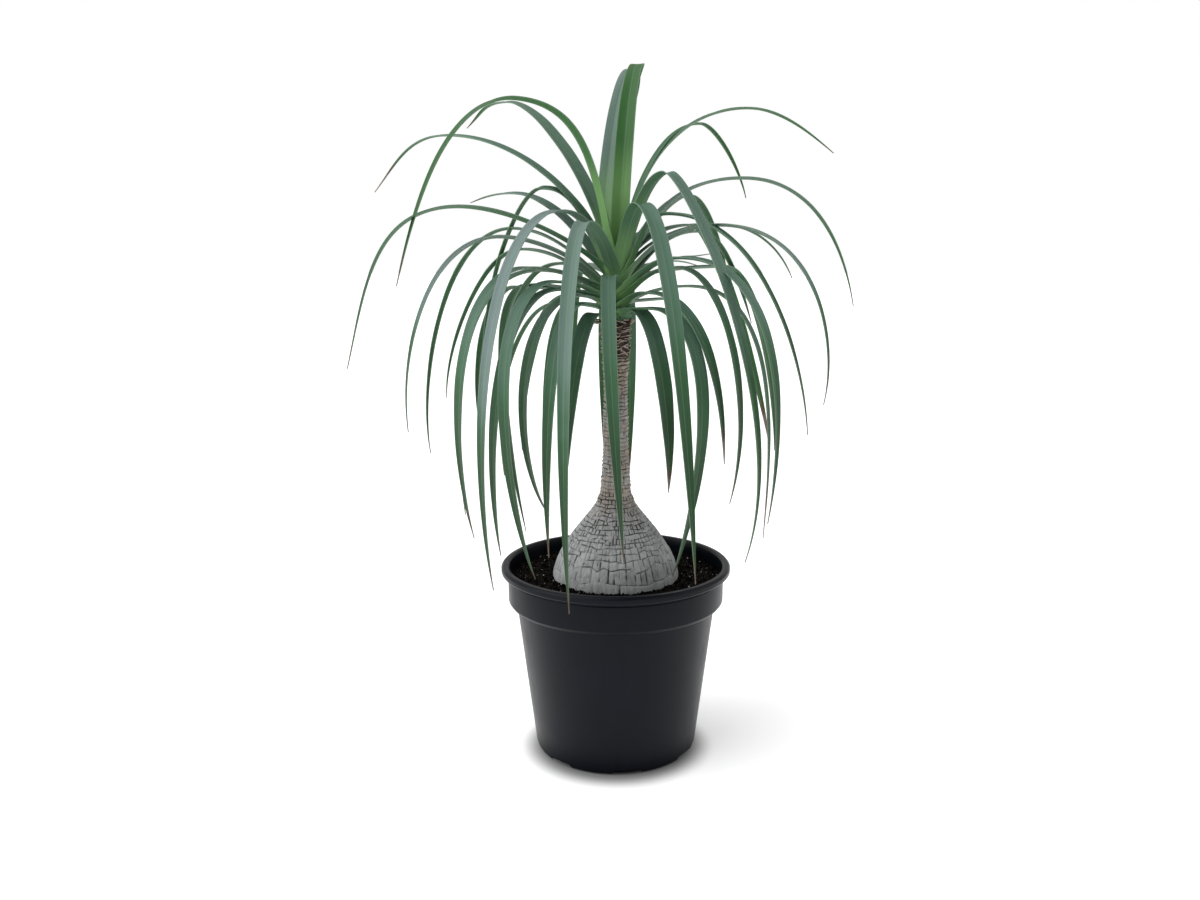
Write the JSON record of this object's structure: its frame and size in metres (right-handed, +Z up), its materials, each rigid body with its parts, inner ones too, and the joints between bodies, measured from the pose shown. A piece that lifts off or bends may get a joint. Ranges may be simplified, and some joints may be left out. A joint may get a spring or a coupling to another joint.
{
  "type": "potted ponytail palm",
  "caption": "Potted ponytail palm: a swollen corky base, a thin ringed stem and a fountain of long arching strap leaves, in a plain black tapered nursery pot.",
  "frame": {"origin": "on the floor, under the middle of the pot", "axes": "+Z up along the stem, -Y towards the front of the picture, +X to its right"},
  "size_m": [0.6035, 0.4178, 0.8308],
  "materials": {
    "pot_plastic": "satin black moulded plastic, faintly blue",
    "potting_soil": "crumbly dark peat with pale grit",
    "bark": "pale grey cork in cracked plates",
    "dry_leaf": "dry papery brown",
    "leaf": "satin blue-green with fine lengthwise veins"
  },
  "bodies": {
    "root": {"pot": "pot_plastic", "soil": "potting_soil", "trunk": "bark", "dry_leaf_bases": "dry_leaf", "leaf_crown": "leaf"}
  },
  "joints": []
}
